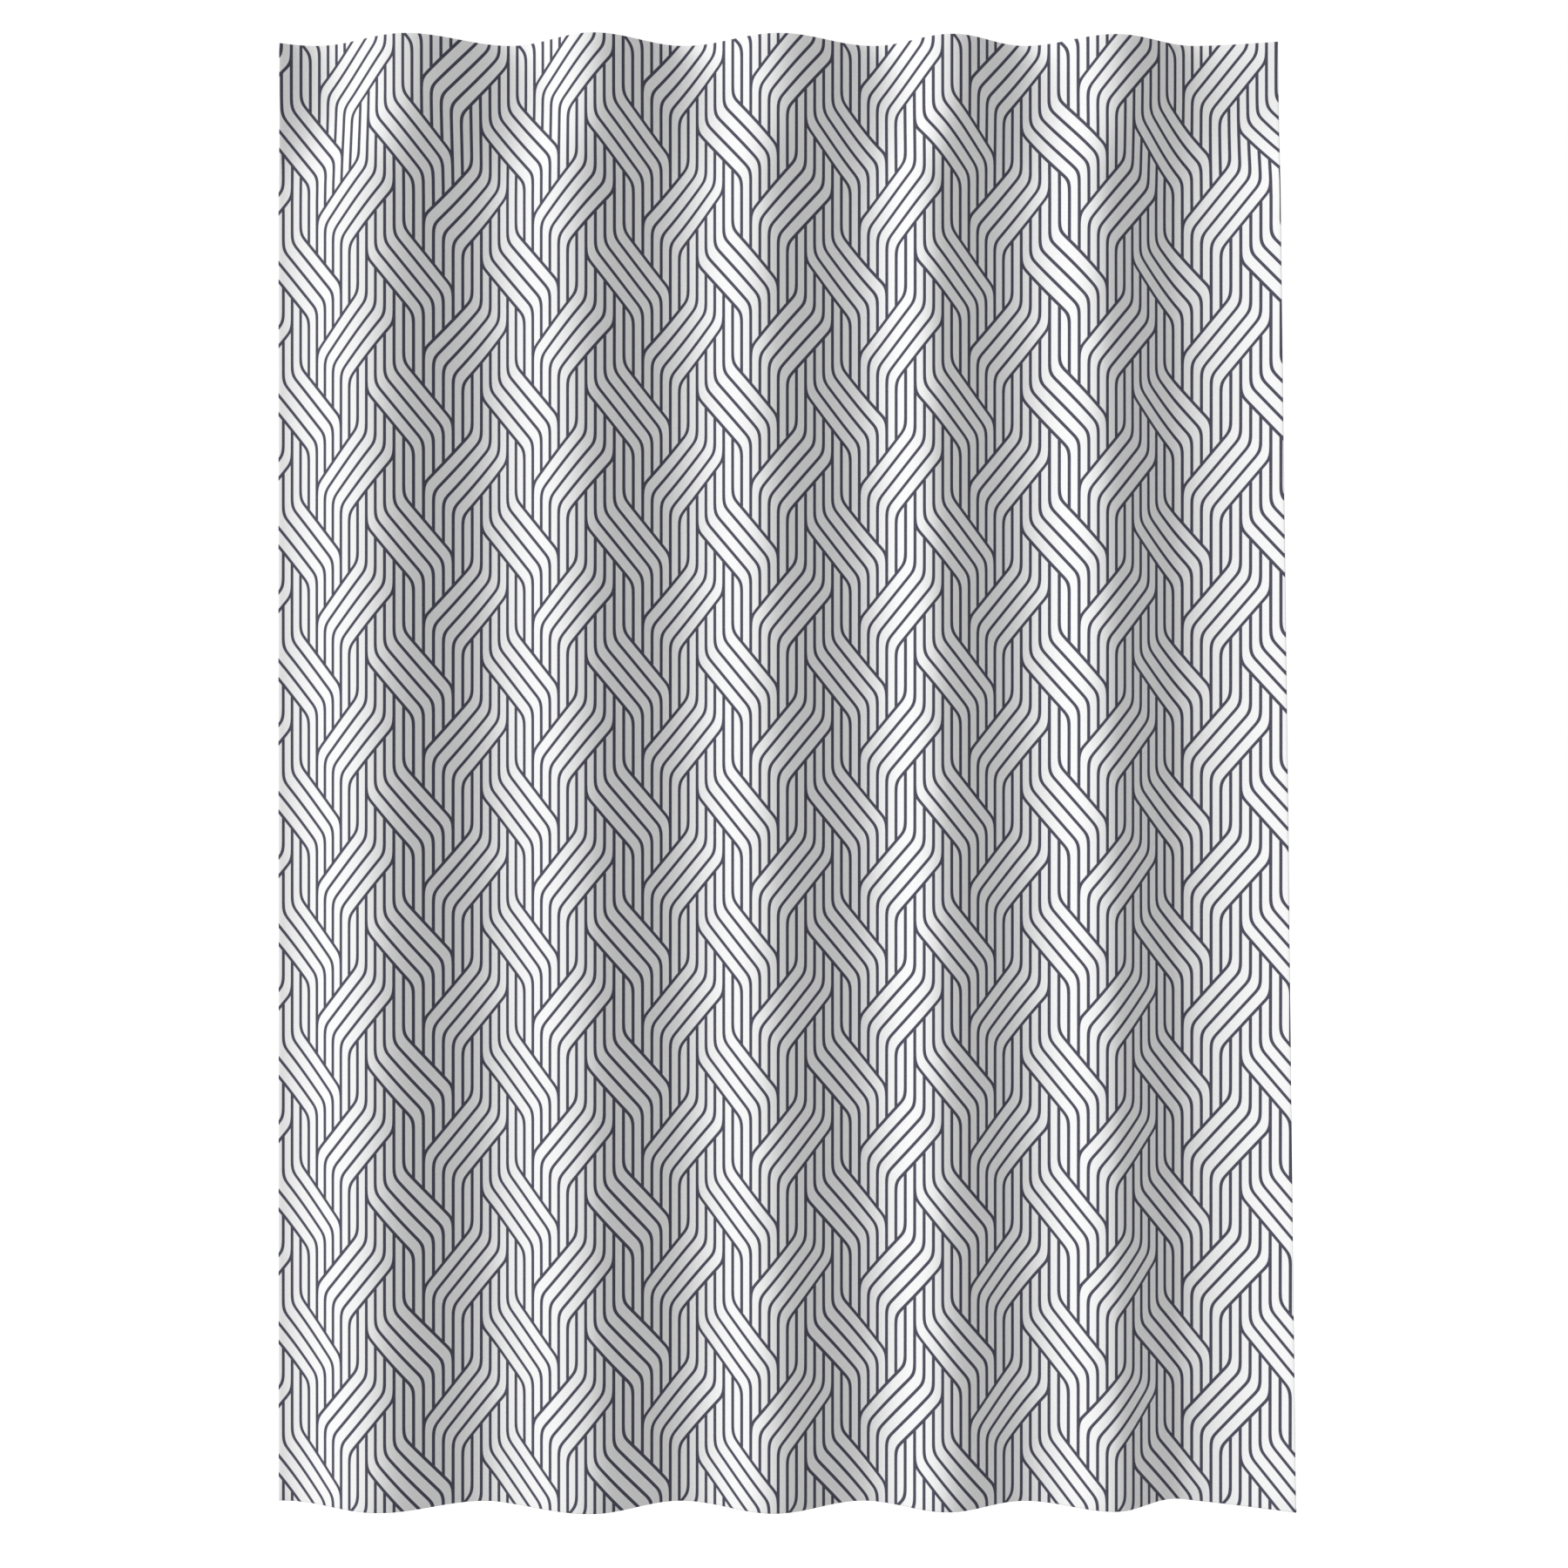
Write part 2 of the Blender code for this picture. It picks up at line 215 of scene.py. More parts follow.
def hung_point(x, z):
    """Front of the hung cloth at x and height z: folds that drift sideways, and the flare of the right edge."""
    lines = [a for a, _ in DRIFT_AT]
    fallen = np.clip((TAPE_BOTTOM - z) / (TAPE_BOTTOM - CLOTH_BOTTOM), 0, 1)
    free = ease(np.clip((TAPE_BOTTOM - z) / DRIFT_REACH, 0, 1))
    drift = free * ((1 - fallen) * np.interp(x, lines, [d[0] for _, d in DRIFT_AT])
                    + fallen * np.interp(x, lines, [d[1] for _, d in DRIFT_AT]))
    height = (z - (CLOTH_TOP + CLOTH_BOTTOM) / 2) / (DROP / 2)
    on_left_flap = np.clip((VALLEY_X[0] - x) / (VALLEY_X[0] - LEFT_EDGE), 0, 1)
    on_right_flap = np.clip((x - VALLEY_X[-1]) / (RIGHT_EDGE - VALLEY_X[-1]), 0, 1)
    flare = on_right_flap * RIGHT_FLARE / 2
    breathe = 1 + BREATHING * free * np.sin(5.1 * x + 2.3 * z + 0.7)
    y = VALLEY_Y + (front_y(x - drift, free) - VALLEY_Y) * breathe
    y = y - RIPPLE * free * np.sin(17.0 * x - 4.1 * z) * np.sin(3.3 * z + 1.1)
    leftwards = free * (FREE_EDGE * on_left_flap + DRAWN_IN * on_right_flap)
    return np.stack([x - flare * height - leftwards, y, z], -1)


def hung_surface(x, z, back):
    """World points that lie `back` behind the cloth's front, for arrays x, z and back."""
    step = 0.0005
    along = hung_point(x + step, z) - hung_point(x - step, z)
    down = hung_point(x, z - step) - hung_point(x, z + step)
    normal = np.cross(down, along)
    normal /= np.linalg.norm(normal, axis=-1, keepdims=True)
    normal *= np.sign(normal[..., 1:2])
    return hung_point(x, z) + normal * back[..., None]


ARC_X = np.linspace(LEFT_EDGE, RIGHT_EDGE, 4001)
ARC_LENGTH = np.concatenate([[0], np.cumsum(np.hypot(np.diff(ARC_X), np.diff(front_y(ARC_X))))])


def cloth_length(start, end):
    """Length of the cloth along its curve, between two places on the heading."""
    return float(np.interp(end, ARC_X, ARC_LENGTH) - np.interp(start, ARC_X, ARC_LENGTH))


def stretches():
    """One strip of cloth for each fold line: its name, its ends and the two bodies that it joins."""
    lines = FOLD_LINES
    middles = [(a + b) / 2 for a, b in zip(lines, lines[1:])]
    found = []
    for i in range(1, len(lines) - 1):
        start = lines[0] if i == 1 else middles[i - 1]
        end = lines[-1] if i == len(lines) - 2 else middles[i]
        kind = "ridge" if i % 2 == 0 else "valley"
        number = i // 2 if kind == "ridge" else (i + 1) // 2
        found.append((f"{kind}_{number}", lines[i], start, end, BODIES[i - 1], BODIES[i]))
    return found


def bend_over(piece):
    """Bake the piece's placement into its mesh."""
    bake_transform(piece)


def keep_normals_true(mesh):
    """Smooth faces, with the corners of rims and cut ends left sharp."""
    mesh.validate()
    mesh.shade_smooth()
    mesh.set_sharp_from_angle(angle=math.radians(50))


def link_object(name, mesh):
    """A new object for a mesh, at the origin."""
    piece = bpy.data.objects.new(name, mesh)
    bpy.context.scene.collection.objects.link(piece)
    return piece


def sheet_mesh(name, columns, rows, thickness, materials, side=0.0):
    """A closed thin sheet over a grid.

    columns are (x, back, beyond) and rows are (z, back, v, turned).  Across, the print lies as far as the
    cloth does; a sheet that turns over at an edge goes on with `beyond`, or with a growing v, and a larger
    back.  Where a row is turned over (1, or 0 on the face), the side hem, `side` deep, lies inside it.
    Face slots: 0 the printed face, 1 the other face and the rims.
    """
    x, back_x, beyond = (np.array(part) for part in zip(*columns))
    z, back_z, v, turned = (np.array(part)[:, None] for part in zip(*rows))
    nx, nz = len(x), len(z)
    inside = np.sin(math.pi * turned) * back_x * 0.4
    upwards = np.where(z > (CLOTH_TOP + CLOTH_BOTTOM) / 2, -1, 1)
    grid_x, grid_z = np.broadcast_to(x, (nz, nx)), z + upwards * inside
    deep = side * on_side_hem(x)
    offset = back_x * (1 - turned) + (deep - back_x) * turned + back_z
    middle = hung_surface(grid_x.copy(), grid_z.copy(), offset)
    across = np.gradient(middle, axis=1)
    down = np.gradient(middle, axis=0)
    normal = np.cross(down, across)
    normal /= np.linalg.norm(normal, axis=-1, keepdims=True)
    face = middle + normal * thickness / 2
    other = middle - normal * thickness / 2
    verts = np.concatenate([face.reshape(-1, 3), other.reshape(-1, 3)])
    index = np.arange(nx * nz).reshape(nz, nx)
    a, b, c, d = index[:-1, :-1], index[:-1, 1:], index[1:, 1:], index[1:, :-1]
    front = np.stack([a, d, c, b], -1).reshape(-1, 4)
    rear = np.stack([a, b, c, d], -1).reshape(-1, 4) + nx * nz
    rims = []
    for edge in (index[0, :], index[:, -1], index[-1, ::-1], index[::-1, 0]):
        rims.append(np.stack([edge[:-1], edge[1:], edge[1:] + nx * nz, edge[:-1] + nx * nz], -1))
    rims = np.concatenate(rims)
    faces = np.concatenate([front, rear, rims])
    mesh = bpy.data.meshes.new(name)
    mesh.from_pydata(verts.tolist(), [], faces.tolist())
    layer = mesh.uv_layers.new(name="cloth")
    u = hung_point(grid_x.copy(), grid_z.copy())[..., 0] + beyond - VALLEY_X[0]
    flat = np.stack([u, np.broadcast_to(v, (nz, nx))], -1).reshape(-1, 2)
    layer.uv.foreach_set("vector", np.concatenate([flat, flat])[faces.reshape(-1)].astype(np.float32).ravel())
    for material in materials:
        mesh.materials.append(material)
    slots = np.concatenate([np.zeros(len(front), int), np.ones(len(rear) + len(rims), int)])
    mesh.polygons.foreach_set("material_index", slots.astype(np.int32))
    keep_normals_true(mesh)
    return mesh


# ---------------------------------------------------------------- materials

# The print repeats every 12 upright lines.  Both strands have five lines, and these are their middles,
# in line spacings (across, down) from the pattern's start.
HALF_REPEAT_ACROSS = 6.0
FALLING_MIDDLE = (11.5, 5.331)
RISING_MIDDLE = (5.5, 12.478)
MIDDLE_LINE = 2.0                      # of the lines 0 to 4
HALF_STRAND = 2.5
LINE_SOFTNESS = 0.025                  # how soft a printed edge is, in line spacings


def linear(hex_colour):
    """sRGB hex to linear RGBA."""
    channels = [int(hex_colour[i:i + 2], 16) / 255 for i in (0, 2, 4)]
    return (*[c / 12.92 if c <= 0.04045 else ((c + 0.055) / 1.055) ** 2.4 for c in channels], 1.0)


def node(tree, kind, inputs=None, output=0, **settings):
    """Add a node with its settings; inputs are values or sockets, by name or place. Returns one output."""
    made = tree.nodes.new(kind)
    for key, value in settings.items():
        setattr(made, key, value)
    for key, value in (inputs or {}).items():
        if isinstance(value, bpy.types.NodeSocket):
            tree.links.new(value, made.inputs[key])
        else:
            made.inputs[key].default_value = value
    return made.outputs[output] if made.outputs else made


def new_material(name):
    """An empty node material and its tree."""
    material = bpy.data.materials.new(name)
    material.use_nodes = True
    tree = material.node_tree
    tree.nodes.clear()
    return material, tree


def strand_lines(tree, across, down, centre, mirrored, look):
    """One strand of five slanting lines. Returns the distance to its nearest line and whether it covers."""
    maths = "ShaderNodeMath"
    slope, step, soft = look.slope, look.step, look.rounding
    dx = node(tree, maths, {0: across, 1: centre[0]}, operation="SUBTRACT")
    dx = node(tree, maths, {0: dx, 1: HALF_REPEAT_ACROSS, 2: -HALF_REPEAT_ACROSS}, operation="WRAP")
    if mirrored:
        dx = node(tree, maths, {0: dx, 1: -1.0}, operation="MULTIPLY")
    dy = node(tree, maths, {0: down, 1: centre[1]}, operation="SUBTRACT")
    dy = node(tree, maths, {0: dy, 1: look.repeat_down / 2, 2: -look.repeat_down / 2}, operation="WRAP")
    slant = node(tree, maths, {0: dx, 1: -slope, 2: dy}, operation="MULTIPLY_ADD")
    slant = node(tree, maths, {0: slant, 1: 1 / (slope + step), 2: MIDDLE_LINE}, operation="MULTIPLY_ADD")
    above = node(tree, maths, {0: -0.5, 1: dx}, operation="SUBTRACT")
    below = node(tree, maths, {0: 4.5, 1: dx}, operation="SUBTRACT")
    line = node(tree, maths, {0: above, 1: slant, 2: soft}, operation="SMOOTH_MAX")
    line = node(tree, maths, {0: line, 1: below, 2: soft}, operation="SMOOTH_MIN")
    along = node(tree, maths, {0: dx, 1: step, 2: dy}, operation="MULTIPLY_ADD")
    along = node(tree, maths, {0: along, 1: 1 / (slope + step)}, operation="MULTIPLY")
    along = node(tree, maths, {0: along}, operation="ABSOLUTE")
    near = node(tree, maths, {0: along, 1: HALF_STRAND + soft}, operation="LESS_THAN")
    squeeze = math.hypot(1, slope) / (slope + step)
    slanted = node(tree, "ShaderNodeMapRange",
                   {"Value": along, "From Min": HALF_STRAND - soft / 2, "From Max": HALF_STRAND + soft / 2,
                    "To Min": squeeze, "To Max": 1.0})
    nearest = node(tree, maths, {0: line}, operation="ROUND")
    distance = node(tree, maths, {0: line, 1: nearest}, operation="SUBTRACT")
    distance = node(tree, maths, {0: distance}, operation="ABSOLUTE")
    distance = node(tree, maths, {0: distance, 1: slanted}, operation="DIVIDE")
    from_middle = node(tree, maths, {0: line, 1: MIDDLE_LINE}, operation="SUBTRACT")
    from_middle = node(tree, maths, {0: from_middle}, operation="ABSOLUTE")
    drawn = node(tree, maths, {0: from_middle, 1: HALF_STRAND}, operation="LESS_THAN")
    drawn = node(tree, maths, {0: drawn, 1: near}, operation="MULTIPLY")
    covers = node(tree, maths, {0: from_middle, 1: MIDDLE_LINE}, operation="LESS_THAN")
    covers = node(tree, maths, {0: covers, 1: near}, operation="MULTIPLY")
    missing = node(tree, maths, {0: 1.0, 1: drawn}, operation="SUBTRACT")
    distance = node(tree, maths, {0: distance, 1: missing}, operation="ADD")
    return distance, covers


def print_mask(tree, look):
    """1 on a printed line, 0 between: upright lines, crossed over by a left and a right strand."""
    maths = "ShaderNodeMath"
    place = node(tree, "ShaderNodeUVMap", uv_map="cloth")
    split = node(tree, "ShaderNodeSeparateXYZ", {0: place})
    across = node(tree, maths, {0: split, 1: 1 / look.spacing, 2: look.start_across}, operation="MULTIPLY_ADD")
    down = node(tree, maths, {0: split.node.outputs[1], 1: 1 / look.spacing, 2: look.start_down},
                operation="MULTIPLY_ADD")
    falling, falling_covers = strand_lines(tree, across, down, FALLING_MIDDLE, False, look)
    rising, rising_covers = strand_lines(tree, across, down, RISING_MIDDLE, True, look)
    nearest = node(tree, maths, {0: across}, operation="ROUND")
    upright = node(tree, maths, {0: across, 1: nearest}, operation="SUBTRACT")
    upright = node(tree, maths, {0: upright}, operation="ABSOLUTE")
    upright = node(tree, maths, {0: upright, 1: falling_covers}, operation="ADD")
    upright = node(tree, maths, {0: upright, 1: rising_covers}, operation="ADD")
    distance = node(tree, maths, {0: falling, 1: rising}, operation="MINIMUM")
    distance = node(tree, maths, {0: distance, 1: upright}, operation="MINIMUM")
    half = look.line_width / look.spacing / 2
    return node(tree, "ShaderNodeMapRange",
                {"Value": distance, "From Min": half - LINE_SOFTNESS, "From Max": half + LINE_SOFTNESS,
                 "To Min": 1.0, "To Max": 0.0}, interpolation_type="SMOOTHSTEP")


def weave_bump(tree, thread, strength, distance):
    """Plain weave: two crossed rows of threads, from the cloth's own UV."""
    maths = "ShaderNodeMath"
    place = node(tree, "ShaderNodeUVMap", uv_map="cloth")
    split = node(tree, "ShaderNodeSeparateXYZ", {0: place})
    turns = 2 * math.pi / thread
    warp = node(tree, maths, {0: split, 1: turns}, operation="MULTIPLY")
    warp = node(tree, maths, {0: warp}, operation="SINE")
    weft = node(tree, maths, {0: split.node.outputs[1], 1: turns}, operation="MULTIPLY")
    weft = node(tree, maths, {0: weft}, operation="SINE")
    crossed = node(tree, maths, {0: warp, 1: weft}, operation="MULTIPLY")
    slub = node(tree, "ShaderNodeTexNoise", {"Vector": place, "Scale": 260.0, "Detail": 3.0, "Roughness": 0.6})
    height = node(tree, maths, {0: slub, 1: 0.9, 2: crossed}, operation="MULTIPLY_ADD")
    return node(tree, "ShaderNodeBump", {"Strength": strength, "Distance": distance, "Height": height})


def woven_polyester(name, look, ink_and_show_through, ground):
    """Matt woven polyester: a soft sheen at grazing angles, a fine plain weave, ink sunk into the threads.

    How strongly the print shows is given as a share: all of it on its face, and on the back a faint painted
    show-through, which stands in for light coming through the thin cloth.
    """
    material, tree = new_material(name)
    mask = print_mask(tree, look)
    place = node(tree, "ShaderNodeUVMap", uv_map="cloth")
    # Ink takes unevenly on threads, about every 2 mm
    uneven = node(tree, "ShaderNodeTexNoise", {"Vector": place, "Scale": 480.0, "Detail": 2.0})
    uneven = node(tree, "ShaderNodeMapRange", {"Value": uneven, "To Min": ink_and_show_through * 0.9, "To Max": ink_and_show_through})
    share = node(tree, "ShaderNodeMath", {0: mask, 1: uneven}, operation="MULTIPLY")
    # On the face this is the print; on the back it is painted show-through, light coming through the cloth
    colour = node(tree, "ShaderNodeMix",
                  {"Factor": share, 6: linear(ground), 7: linear(look.ink)}, output=2, data_type="RGBA")
    # Thread spacing is 0.4 mm on such cloth, and is drawn at 1.1 mm so that it shows
    bump = weave_bump(tree, 0.0011, 0.25, 0.00012)
    shader = node(tree, "ShaderNodeBsdfPrincipled",
                  {"Base Color": colour, "Roughness": 0.82, "IOR": 1.5, "Sheen Weight": 0.12,
                   "Sheen Roughness": 0.5, "Specular IOR Level": 0.25, "Normal": bump})
    node(tree, "ShaderNodeOutputMaterial", {"Surface": shader})
    return material


def woven_tape(name):
    """White heading tape: close upright ribs with painted shade in the hollows between them, a little yellower
    and rougher than the cloth.
    """
    material, tree = new_material(name)
    maths = "ShaderNodeMath"
    place = node(tree, "ShaderNodeUVMap", uv_map="cloth")
    split = node(tree, "ShaderNodeSeparateXYZ", {0: place})
    # Ribs 1.6 mm apart, crossed by picks 0.9 mm apart
    rib = node(tree, maths, {0: split, 1: 2 * math.pi / 0.0016}, operation="MULTIPLY")
    rib = node(tree, maths, {0: rib}, operation="SINE")
    pick = node(tree, maths, {0: split.node.outputs[1], 1: 2 * math.pi / 0.0009}, operation="MULTIPLY")
    pick = node(tree, maths, {0: pick}, operation="SINE")
    height = node(tree, maths, {0: pick, 1: 0.35, 2: rib}, operation="MULTIPLY_ADD")
    bump = node(tree, "ShaderNodeBump", {"Strength": 0.5, "Distance": 0.00025, "Height": height})
    # Painted shade: the colour goes darker in the hollows between ribs and lighter on their crests
    shade = node(tree, "ShaderNodeMapRange", {"Value": rib, "From Min": -1.0, "From Max": 1.0})
    colour = node(tree, "ShaderNodeMix",
                  {"Factor": shade, 6: linear("E9E9E7"), 7: linear("F7F7F5")}, output=2, data_type="RGBA")
    shader = node(tree, "ShaderNodeBsdfPrincipled",
                  {"Base Color": colour, "Roughness": 0.9, "Sheen Weight": 0.1, "Normal": bump})
    node(tree, "ShaderNodeOutputMaterial", {"Surface": shader})
    return material


def moulded_acetal(name):
    """White acetal hook: satin, with the faint unevenness of a moulded surface."""
    material, tree = new_material(name)
    place = node(tree, "ShaderNodeTexCoord", output=3)
    cloud = node(tree, "ShaderNodeTexNoise", {"Vector": place, "Scale": 900.0, "Detail": 2.0})
    rough = node(tree, "ShaderNodeMapRange", {"Value": cloud, "To Min": 0.30, "To Max": 0.42})
    bump = node(tree, "ShaderNodeBump", {"Strength": 0.12, "Distance": 0.0001, "Height": cloud})
    shader = node(tree, "ShaderNodeBsdfPrincipled",
                  {"Base Color": linear("F3F2EC"), "Roughness": rough, "IOR": 1.48, "Normal": bump})
    node(tree, "ShaderNodeOutputMaterial", {"Surface": shader})
    return material


def spun_thread(name):
    """Spun polyester sewing thread: its twist is drawn as a fine slanting stripe of painted shade."""
    material, tree = new_material(name)
    place = node(tree, "ShaderNodeTexCoord", output=3)
    twist = node(tree, "ShaderNodeTexWave", {"Vector": place, "Scale": 900.0}, bands_direction="DIAGONAL")
    # Painted shade: grey bands where the grooves of the twist would lie in shade
    colour = node(tree, "ShaderNodeMix",
                  {"Factor": twist, 6: linear("D9D9DC"), 7: linear("F6F6F7")}, output=2, data_type="RGBA")
    shader = node(tree, "ShaderNodeBsdfPrincipled",
                  {"Base Color": colour, "Roughness": 0.6, "Sheen Weight": 0.1})
    node(tree, "ShaderNodeOutputMaterial", {"Surface": shader})
    return material


def braided_cord(name):
    """Grey braided sleeve of the weight cord, with lead beads under it; painted shade makes it darker in the
    braid's hollows.
    """
    material, tree = new_material(name)
    place = node(tree, "ShaderNodeTexCoord", output=3)
    braid = node(tree, "ShaderNodeTexWave", {"Vector": place, "Scale": 420.0}, bands_direction="DIAGONAL")
    bump = node(tree, "ShaderNodeBump", {"Strength": 0.5, "Distance": 0.0002, "Height": braid})
    # Grey is the sleeve's own colour; the change with the braid is painted shade, darker in its hollows and
    # lighter on its strands
    colour = node(tree, "ShaderNodeMix",
                  {"Factor": braid, 6: linear("8B8D92"), 7: linear("B4B6BA")}, output=2, data_type="RGBA")
    shader = node(tree, "ShaderNodeBsdfPrincipled", {"Base Color": colour, "Roughness": 0.8, "Normal": bump})
    node(tree, "ShaderNodeOutputMaterial", {"Surface": shader})
    return material


def material_named(name, make):
    """The material of that name, made the first time it is asked for."""
    return bpy.data.materials.get(name) or make(name)


# ---------------------------------------------------------------- cloth

TOP_HEM = 0.046                        # how far the top edge is turned down, behind the tape
HEM_TURN_STEPS = 5                     # columns round the turned side edge
SIDE_HEM_STEPS = 6                     # columns across the side hem


def cloth_columns(start, end, cloth):
    """Columns (x, back, beyond) of a strip, with the side hem where it ends at the curtain's edge."""
    count = max(2, round((end - start) / cloth.column))
    xs = np.linspace(start, end, count + 1)
    columns = [(x, 0.0, 0.0) for x in xs]
    side = SIDE_HEM_LAYERS * cloth.layer
    for edge, sign in ((LEFT_EDGE, 1), (RIGHT_EDGE, -1)):
        if abs((start if sign > 0 else end) - edge) > 1e-6:
            continue
        radius = side / 2
        turned = []
        trimmed = [c for c in columns if sign * (c[0] - edge) > radius * 1.5]
        for i in range(1, HEM_TURN_STEPS):
            angle = math.pi * i / HEM_TURN_STEPS
            x = edge + sign * radius * (1 - math.sin(angle))
            back = radius * (1 - math.cos(angle))
            turned.append((x, back, edge - sign * radius * (angle - math.pi / 2) - x))
        for i in range(SIDE_HEM_STEPS + 1):
            reach = radius + (SIDE_HEM_WIDTH - radius) * i / SIDE_HEM_STEPS
            turned.append((edge + sign * reach, side, -sign * (2 * reach + radius)))
        turned.insert(0, (edge + sign * radius, 0.0, 0.0))
        columns = turned[::-1] + trimmed if sign > 0 else trimmed + turned
    return columns


def cloth_rows(cloth):
    """Rows (z, back, v, turned): turned-down top hem, the drop, and the bottom hem round its weight cord."""
    rows = []
    layer = cloth.layer
    top_radius = layer / 2
    for i in range(4):
        reach = TOP_HEM + (top_radius - TOP_HEM) * i / 3
        rows.append((CLOTH_TOP - reach, layer, -reach - top_radius, 1))
    for i in range(1, 5):
        angle = math.pi * i / 5
        z = CLOTH_TOP - top_radius * (1 - math.sin(angle))
        rows.append((z, top_radius * (1 + math.cos(angle)), -top_radius * (math.pi / 2 - angle), 1 - i / 5))
    bulge = cloth.weight_bulge
    low = CLOTH_BOTTOM + bulge
    for z in np.linspace(CLOTH_TOP - top_radius, low, round(DROP / cloth.row)):
        rows.append((z, 0.0, CLOTH_TOP - z, 0))
    drop = CLOTH_TOP - low
    for i in range(1, 9):
        angle = math.pi * i / 8
        rows.append((low - bulge * math.sin(angle), bulge * (1 - math.cos(angle)), drop + bulge * angle, i / 8))
    drop += math.pi * bulge
    neck = 3 * bulge
    for i in range(1, 6):
        share = i / 5
        back = 2 * bulge + (layer - 2 * bulge) * ease(share)
        rows.append((low + neck * share, back, drop + neck * share, 1))
    for z in np.linspace(low + neck, HEM_TOP, 4)[1:]:
        rows.append((z, layer, drop + z - low, 1))
    return rows


class CURTAIN_OT_cloth(bpy.types.Operator):
    """Make the printed cloth: one strip for each fold line, with its hems turned to the back"""
    bl_idname = "curtain.cloth"
    bl_label = "Printed cloth"

    def execute(self, context):
        cloth, look = context.scene.curtain_cloth, context.scene.curtain_print
        printed = material_named("Woven polyester, printed face",
                                 lambda name: woven_polyester(name, look, 1.0, look.ground))
        # The reverse carries the print at 0.16 as painted show-through, standing in for light coming through
        # the thin cloth
        reverse = material_named("Woven polyester, reverse",
                                 lambda name: woven_polyester(name, look, 0.16, "F3F3F5"))
        rows = cloth_rows(cloth)
        for name, line, start, end, before, after in stretches():
            columns = cloth_columns(start, end, cloth)
            mesh = sheet_mesh(f"cloth_{name}", columns, rows, cloth.thickness, [printed, reverse],
                              SIDE_HEM_LAYERS * cloth.layer)
            piece = link_object(f"cloth_{name}", mesh)
            bend_over(piece)
            for body in (before, after):
                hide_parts(f"cloth_{body}", f"bottom_hem_{body}")
            if before == "left_end":
                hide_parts("side_hem_left")
            if after == "right_end":
                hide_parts("side_hem_right")
            flat_width = cloth_length(start, end)
            if start == LEFT_EDGE or end == RIGHT_EDGE:
                flat_width += SIDE_HEM_WIDTH
        return {"FINISHED"}


# ---------------------------------------------------------------- heading tape and stitching

TAPE_LAYERS = 2.0                      # how far behind the cloth the tape lies, in layer steps
TAPE_OVER_HEM = 2.4                    # and how much further over a side hem
TAPE_MARGIN = 0.0015                   # the tape ends this far inside the curtain's side edges
STITCH_INSET = 0.003                   # from an edge of tape or hem to its row of stitches
STITCH_END = 0.0045                    # a row ends this far inside the curtain's side edges
STITCH_PROUD = 0.7                     # how far a stitch's middle stands out, in thread radii


def tape_back(x, cloth):
    """How far behind the cloth's front the tape lies: on the turned top hem, and over the side hems."""
    return cloth.layer * (TAPE_LAYERS + TAPE_OVER_HEM * on_side_hem(x))


class CURTAIN_OT_tape(bpy.types.Operator):
    """Make the heading tape that is sewn behind the top of the cloth"""
    bl_idname = "curtain.tape"
    bl_label = "Heading tape"

    def execute(self, context):
        cloth = context.scene.curtain_cloth
        tape = material_named("Woven heading tape", woven_tape)
        for name, line, start, end, before, after in stretches():
            left = start + TAPE_MARGIN if start == LEFT_EDGE else start
            right = end - TAPE_MARGIN if end == RIGHT_EDGE else end
            xs = np.linspace(left, right, max(2, round((right - left) / cloth.column)) + 1)
            columns = [(x, back, 0.0) for x, back in zip(xs, tape_back(xs, cloth))]
            rows = [(z, 0.0, CLOTH_TOP - z, 0) for z in np.linspace(TAPE_TOP, TAPE_BOTTOM, 11)]
            mesh = sheet_mesh(f"tape_{name}", columns, rows, 2 * cloth.thickness, [tape, tape])
            piece = link_object(f"tape_{name}", mesh)
            bend_over(piece)
            for body in (before, after):
                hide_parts(f"heading_tape_{body}")
        return {"FINISHED"}


def stitch_tree(thread):
    """Geometry nodes: a short round stitch at each step along every edge line of the mesh."""
    tree = bpy.data.node_groups.new("Lockstitch", "GeometryNodeTree")
    face = tree.interface
    face.new_socket("Geometry", in_out="INPUT", socket_type="NodeSocketGeometry")
    for label, value in (("Pitch", 0.004), ("Stitch length", 0.003), ("Thread radius", 0.0002)):
        socket = face.new_socket(label, in_out="INPUT", socket_type="NodeSocketFloat")
        socket.default_value = value
    face.new_socket("Geometry", in_out="OUTPUT", socket_type="NodeSocketGeometry")
    group = tree.nodes.new("NodeGroupInput")
    lines = node(tree, "GeometryNodeMeshToCurve", {"Mesh": group.outputs["Geometry"]})
    lines = node(tree, "GeometryNodeResampleCurve",
                 {"Curve": lines, "Length": group.outputs["Pitch"]}, mode="LENGTH")
    stitch = node(tree, "GeometryNodeMeshCylinder",
                  {"Vertices": 6, "Radius": group.outputs["Thread radius"],
                   "Depth": group.outputs["Stitch length"]},
                  fill_type="TRIANGLE_FAN")
    along = node(tree, "GeometryNodeInputTangent")
    turn = node(tree, "FunctionNodeAlignRotationToVector", {"Vector": along}, axis="Z")
    placed = node(tree, "GeometryNodeInstanceOnPoints", {"Points": lines, "Instance": stitch, "Rotation": turn})
    solid = node(tree, "GeometryNodeRealizeInstances", {"Geometry": placed})
    solid = node(tree, "GeometryNodeSetMaterial", {"Geometry": solid, "Material": thread})
    node(tree, "NodeGroupOutput", {0: solid})
    return tree


def bake_nodes(name, guide, tree, values):
    """Run a geometry node tree on a guide mesh and keep its result as a plain mesh object."""
    source = link_object(name + "_guide", guide)
    modifier = source.modifiers.new("Stitches", "NODES")
    modifier.node_group = tree
    for item in tree.interface.items_tree:
        if item.in_out == "INPUT" and item.name in values:
            modifier[item.identifier] = values[item.name]
    bpy.context.view_layer.update()
    depsgraph = bpy.context.evaluated_depsgraph_get()
    mesh = bpy.data.meshes.new_from_object(source.evaluated_get(depsgraph))
    bpy.data.objects.remove(source)
    mesh.name = name
    return link_object(name, mesh)


